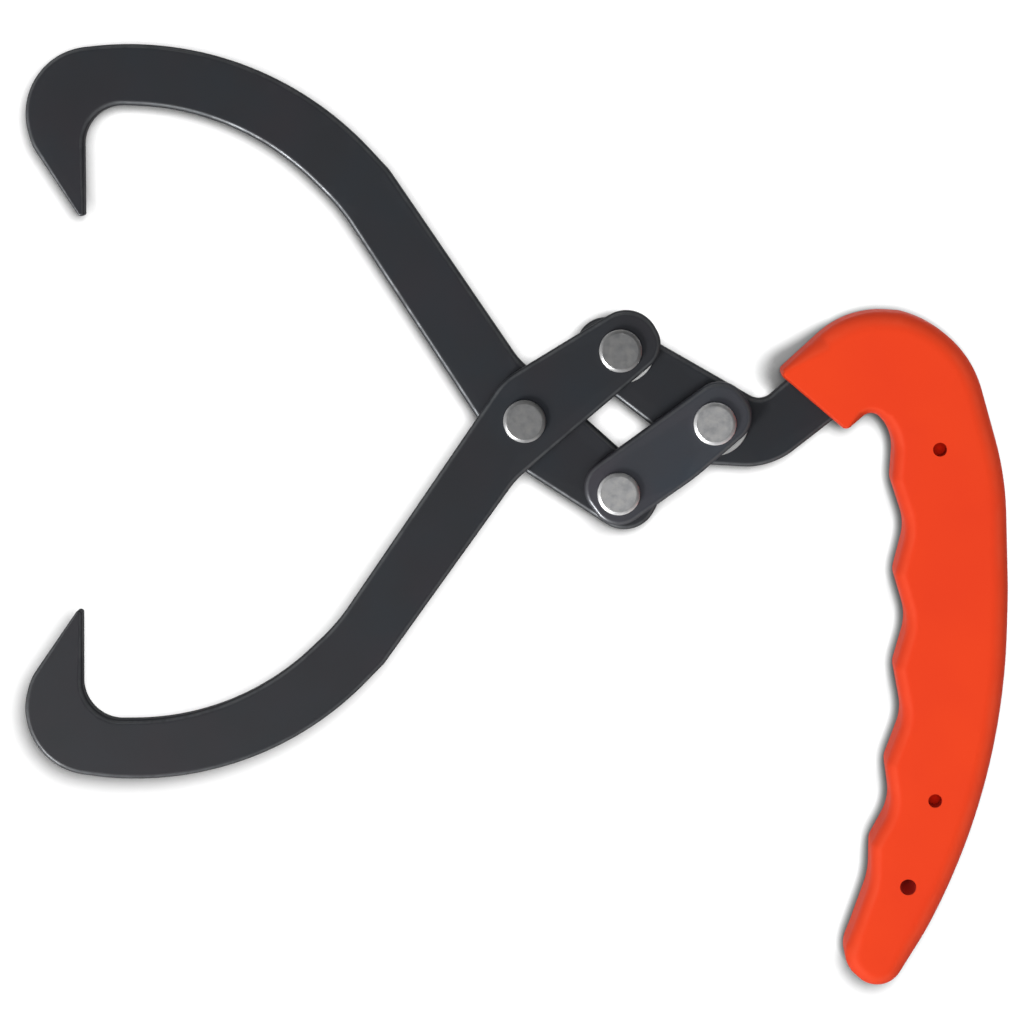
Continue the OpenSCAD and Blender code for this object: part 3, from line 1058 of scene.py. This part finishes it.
camera_data = bpy.data.cameras.new("catalogue_camera")
camera_data.lens_unit = "FOV"
camera_data.angle = 2 * math.atan(VIEW_WIDTH / 2 / DISTANCE)
camera_data.clip_start = NEAREST
camera_data.clip_end = FARTHEST
camera = bpy.data.objects.new("catalogue_camera", camera_data)
turn = Matrix.Rotation(ROLL, 4, "Z") @ Matrix.Rotation(SIDE_LEAN, 4, "Y")
turn = turn @ Matrix.Rotation(TILT, 4, "X")
back_off = Matrix.Translation((0, 0, DISTANCE))
camera.matrix_world = Matrix.Translation(AIM) @ turn.transposed() @ back_off
scene.collection.objects.link(camera)
scene.camera = camera
bpy.context.scene.view_settings.view_transform = "Standard"
print("camera at", tuple(round(v, 3) for v in camera.matrix_world.translation))

# %% [markdown]
# ## The room
# Satin paint and zinc mirror the room that they are in. A photographed room would need an
# image, so this one is a few numbers: pale walls on the lower left, dark ones on the upper
# right, and a dim ceiling, which a camera that looks straight down sees mirrored in every flat
# face. Only glossy rays see the room. Other rays get a faint even light, so that the lamps
# alone shape the tool, and the camera sees plain white beyond the sheet.

# %% World
ROOM_LIGHT, CEILING_LIGHT = 0.08, 0.24
DARK_WALL, PALE_WALL = 0.06, 0.95
DARK_WALL_AT, PALE_WALL_AT = -0.6, 0.8
CEILING_FROM, CEILING_TO = 0.30, 0.75
TO_LOWER_LEFT = -0.7

world = bpy.data.worlds.new("studio_room")
scene.world = world
world.use_nodes = True
tree = world.node_tree
background = tree.nodes["Background"]
seen = add_node(tree, "ShaderNodeLightPath")
way = add_node(tree, "ShaderNodeTexCoord")
split = add_node(tree, "ShaderNodeSeparateXYZ")
tree.links.new(way.outputs["Generated"], split.inputs[0])
across = math_node(tree, "ADD", split.outputs["X"], split.outputs["Y"])
toward_pale = math_node(tree, "MULTIPLY", across, TO_LOWER_LEFT)
walls = remap(tree, toward_pale, DARK_WALL_AT, PALE_WALL_AT, DARK_WALL, PALE_WALL)
ceiling = remap(tree, split.outputs["Z"], CEILING_FROM, CEILING_TO)
below_ceiling = math_node(tree, "SUBTRACT", 1.0, ceiling)
room = math_node(
    tree, "ADD", math_node(tree, "MULTIPLY", walls, below_ceiling),
    math_node(tree, "MULTIPLY", ceiling, CEILING_LIGHT),
)
glossy = seen.outputs["Is Glossy Ray"]
not_glossy = math_node(tree, "SUBTRACT", 1.0, glossy)
level = math_node(
    tree, "ADD", math_node(tree, "MULTIPLY", glossy, room),
    math_node(tree, "MULTIPLY", not_glossy, ROOM_LIGHT),
)
level = math_node(tree, "MAXIMUM", level, seen.outputs["Is Camera Ray"])
tree.links.new(level, background.inputs["Strength"])
background.inputs["Color"].default_value = tinted((1.0, 1.0, 1.0))
print("world: room light", ROOM_LIGHT)

# %% [markdown]
# ## Light linking
# The photographed tool is lit from the lower left, and its halo lies on the lower left too. No
# lamp gives both, so the sheet and the tool are lit apart. A light linking collection names
# what a lamp lights: the sheet alone, everything but the sheet, or the steel alone.

# %% Collections that the lamps light
def sheet_link(name, state):
    """A light linking collection that holds the sheet, to be lit alone or to be left out."""
    group = bpy.data.collections.new(name)
    group.objects.link(white_sheet)
    group.collection_objects[0].light_linking.link_state = state
    return group


sheet_alone = sheet_link("sheet_alone", "INCLUDE")
all_but_sheet = sheet_link("all_but_sheet", "EXCLUDE")
steel_alone = bpy.data.collections.new("steel_alone")
for piece in steel_plates + [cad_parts[node] for node in RIVETS + WASHERS]:
    steel_alone.objects.link(piece)
print("light linking:", sheet_alone.name, all_but_sheet.name, steel_alone.name)

# %% [markdown]
# ## Lamps
# Four lamps share the work. A wide soft one overhead gives the tool its even tone, and is left
# out of reflections, because every flat face would mirror it. A card on the lower left lets
# every rivet head cast a short shadow to the upper right. A second card beside it is seen only
# in the gloss of the steel, where it draws the bright lines along the rolled edges. The last
# one lights the sheet alone. It stands just to the upper right of the camera, so the tool hides
# most of its own shadow, and what is left of it reaches furthest to the lower left.

# %% Lamps
BESIDE_CAMERA = Vector((0.085, 0.080, 0.0))


def soft_lamp(name, place, size, watts, lights):
    """A round area lamp that is aimed at the middle of the tool and lights one collection."""
    lamp = bpy.data.lights.new(name, "AREA")
    lamp.shape = "DISK"
    lamp.size = size
    lamp.energy = watts
    holder = bpy.data.objects.new(name, lamp)
    holder.location = place
    holder.rotation_euler = (-Vector(place)).to_track_quat("-Z", "Y").to_euler()
    holder.light_linking.receiver_collection = lights
    scene.collection.objects.link(holder)
    return holder


overhead = soft_lamp(
    "overhead_lamp", place=(0.0, 0.0, 2.5), size=1.6, watts=37.0, lights=all_but_sheet,
)
overhead.visible_glossy = False
card = soft_lamp(
    "card_lamp", place=(-1.50, -1.50, 2.12), size=0.85, watts=48.0, lights=all_but_sheet,
)
rim_card = soft_lamp(
    "rim_card", place=(-1.80, -1.90, 1.50), size=0.60, watts=48.0, lights=steel_alone,
)
rim_card.visible_diffuse = False
sheet_lamp = soft_lamp(
    "sheet_lamp", place=camera.matrix_world.translation + BESIDE_CAMERA, size=0.36, watts=12.8,
    lights=sheet_alone,
)
print("lamps:", overhead.name, card.name, rim_card.name, sheet_lamp.name)
